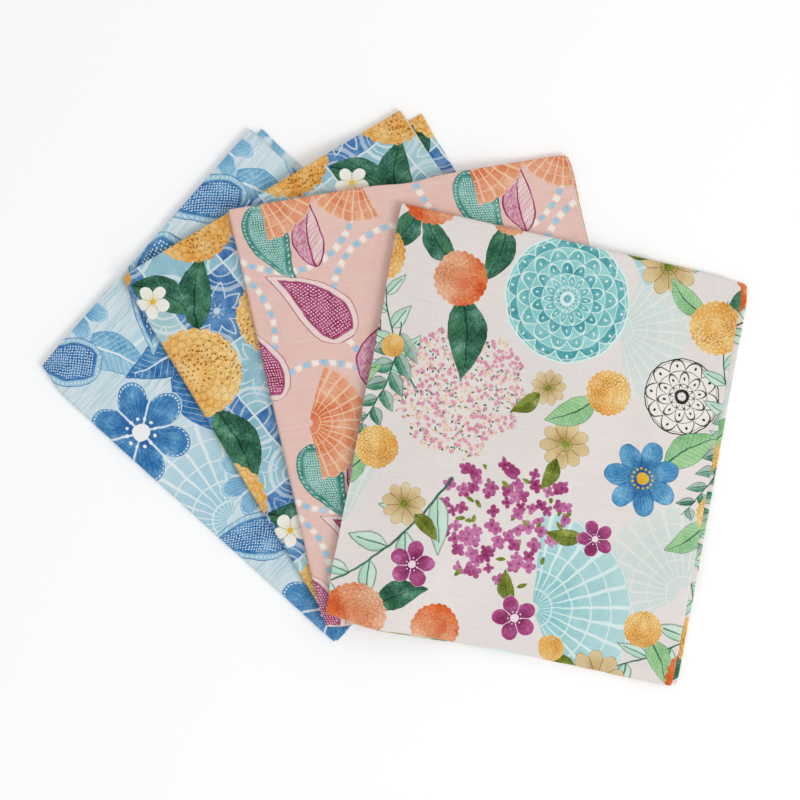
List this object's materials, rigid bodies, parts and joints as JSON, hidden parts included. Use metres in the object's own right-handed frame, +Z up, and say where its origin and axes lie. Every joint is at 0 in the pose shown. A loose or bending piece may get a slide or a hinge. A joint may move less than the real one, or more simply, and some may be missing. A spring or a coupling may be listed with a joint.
{
  "type": "fat quarter bundle",
  "caption": "Folded cotton fat quarters fanned out on one another about a shared corner, lying flat, for quilting and patchwork.",
  "frame": {"origin": "middle of the bundle's outline seen from above, at the height of the surface it lies on", "axes": "+Z up; the shared corner lies towards -Y, and the bundle fans from -X to +X"},
  "size_m": [0.4827, 0.3939, 0.0233],
  "materials": {
    "pale_blue_cotton": "matt plain-weave cotton, pale blue with mid-blue block flowers and leaves",
    "tile_cotton": "matt plain-weave cotton, aqua and blue tiles with golden blooms and dark green leaves",
    "blush_cotton": "matt plain-weave cotton, blush pink with magenta and teal motifs and mosaic lines",
    "cream_cotton": "matt plain-weave cotton, off-white with scattered flowers, leaves and medallions"
  },
  "bodies": {
    "root": {"fat_quarter_pale_blue": "pale_blue_cotton", "fat_quarter_tile": "tile_cotton", "fat_quarter_blush": "blush_cotton", "fat_quarter_cream": "cream_cotton"}
  },
  "joints": []
}
